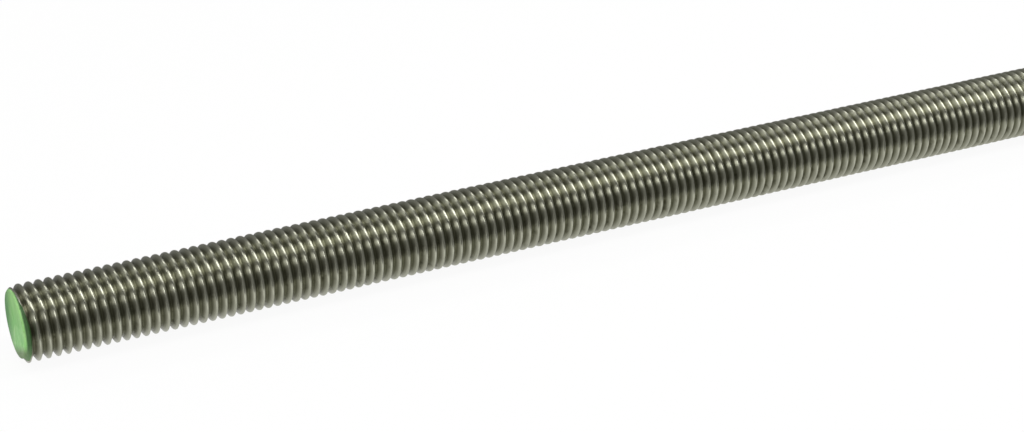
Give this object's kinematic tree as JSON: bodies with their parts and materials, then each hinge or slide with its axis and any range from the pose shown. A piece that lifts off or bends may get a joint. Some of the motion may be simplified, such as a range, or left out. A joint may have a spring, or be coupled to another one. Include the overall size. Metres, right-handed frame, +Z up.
{
  "type": "threaded rod",
  "caption": "Round metal bar with a right-hand metric thread over its whole length, chamfered at both ends, with a green colour code on one end face.",
  "frame": {"origin": "centre of the colour-coded end face, on the rod's axis", "axes": "+X along the rod's axis from the coded end to the plain end; +Z up with the rod lying level"},
  "size_m": [0.3, 0.0156, 0.0158],
  "materials": {
    "stainless_steel": "rolled thread, dull warm grey with bright crests",
    "end_paint": "light green paint brushed on one end face, satin"
  },
  "bodies": {
    "root": {"rod": "stainless_steel"}
  },
  "joints": []
}
